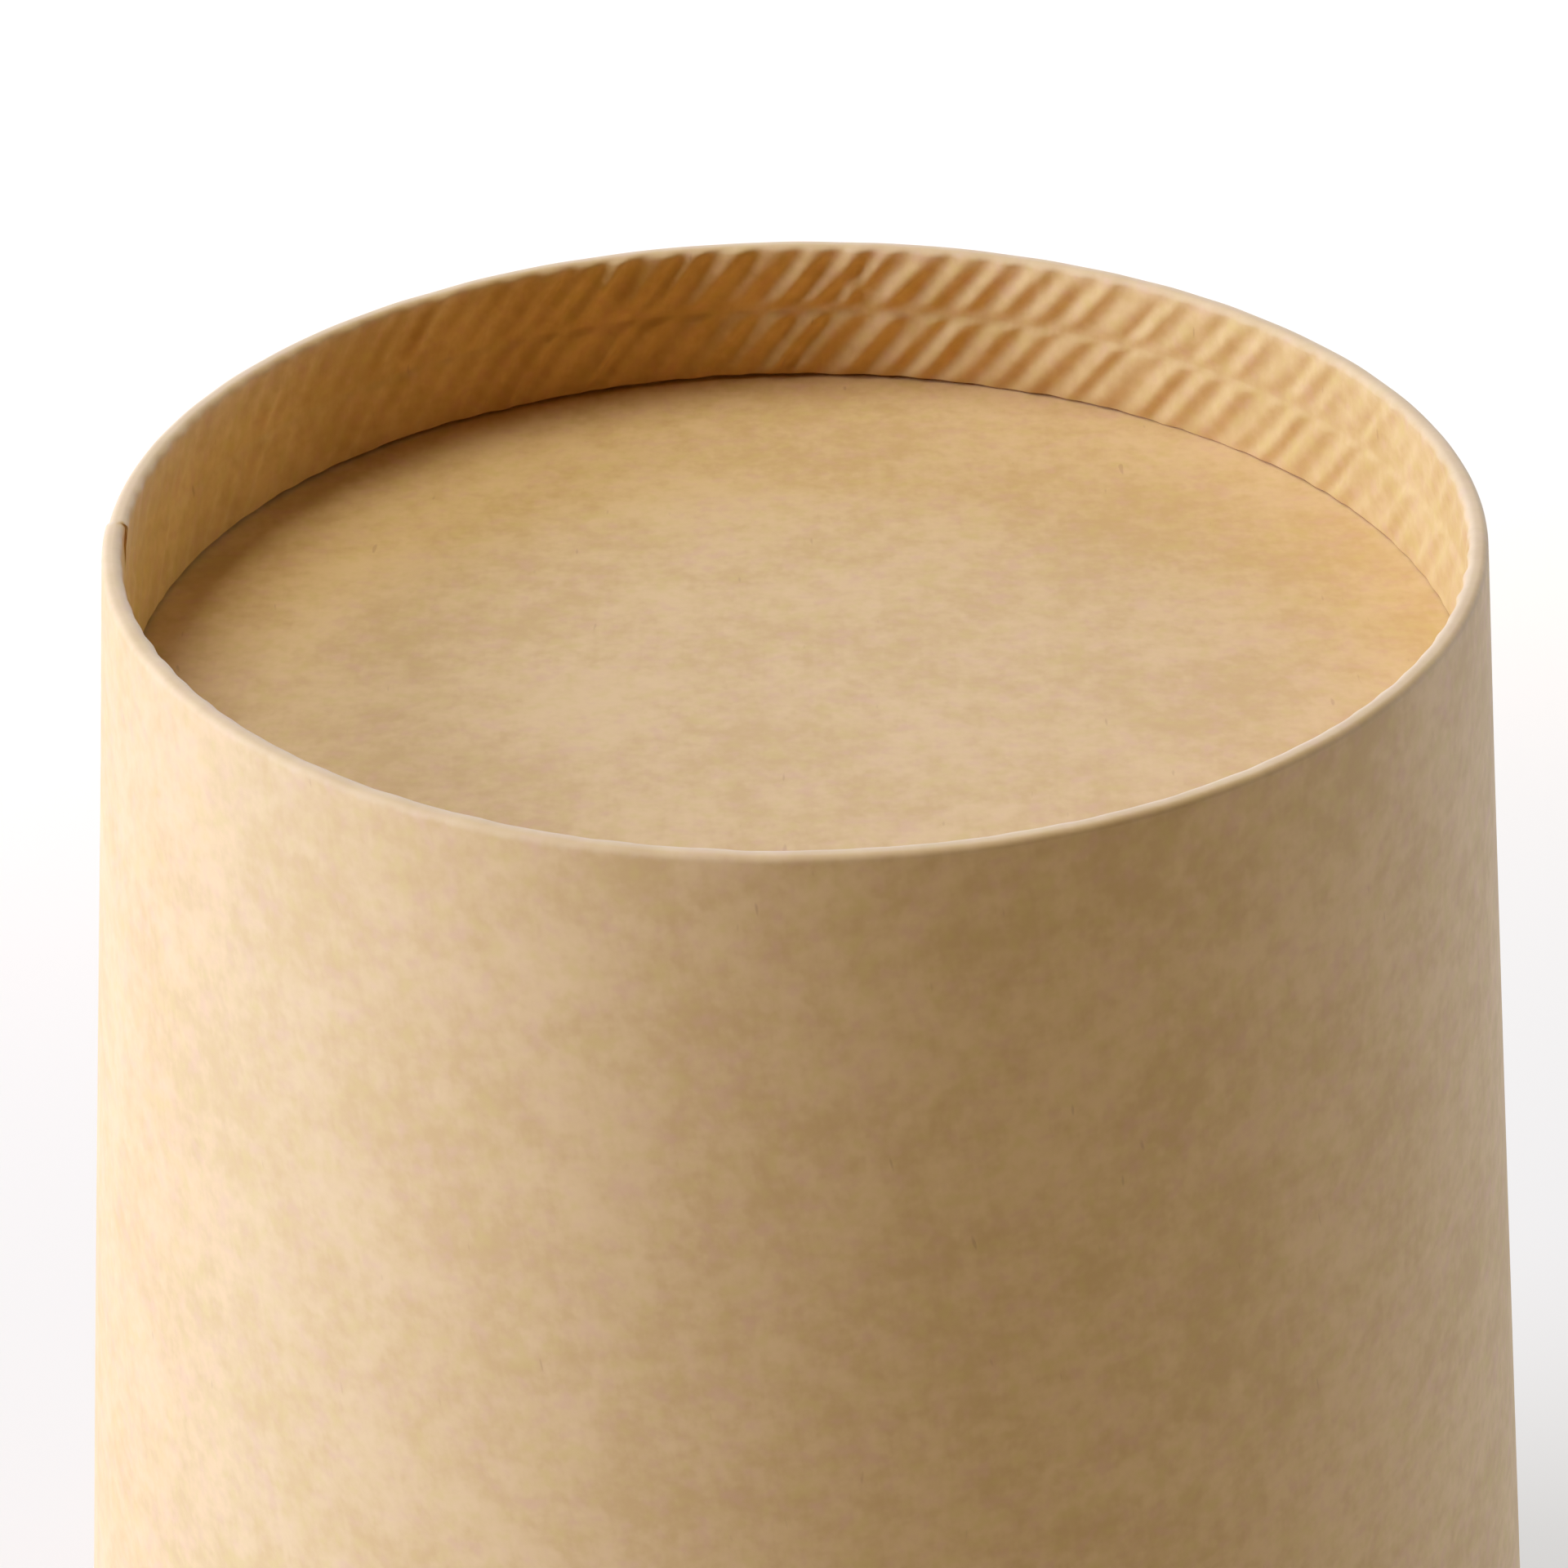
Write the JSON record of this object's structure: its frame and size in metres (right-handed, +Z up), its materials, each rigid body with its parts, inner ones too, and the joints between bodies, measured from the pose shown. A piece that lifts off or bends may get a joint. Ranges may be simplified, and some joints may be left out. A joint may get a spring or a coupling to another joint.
{
  "type": "paper soup cup",
  "caption": "Tapered kraft paper soup cup with a rolled rim and a recessed base held by a crimped, folded-in foot, stored upside down.",
  "frame": {"origin": "centre of the circle that the rolled rim stands on, with the cup upside down as in the picture", "axes": "+Z up along the cup's axis, from the rolled rim to the folded foot; the side seam's edge lies near -X"},
  "size_m": [0.098, 0.098, 0.099],
  "materials": {
    "wall_board": "uncoated kraft board outside, with fine fibre flecks and a soft mottle; thin clear lining inside",
    "base_board": "uncoated kraft board outside, with fine fibre flecks and a soft mottle; thin clear lining inside"
  },
  "bodies": {
    "root": {"side_wall": "wall_board", "base_disc": "base_board"}
  },
  "joints": []
}
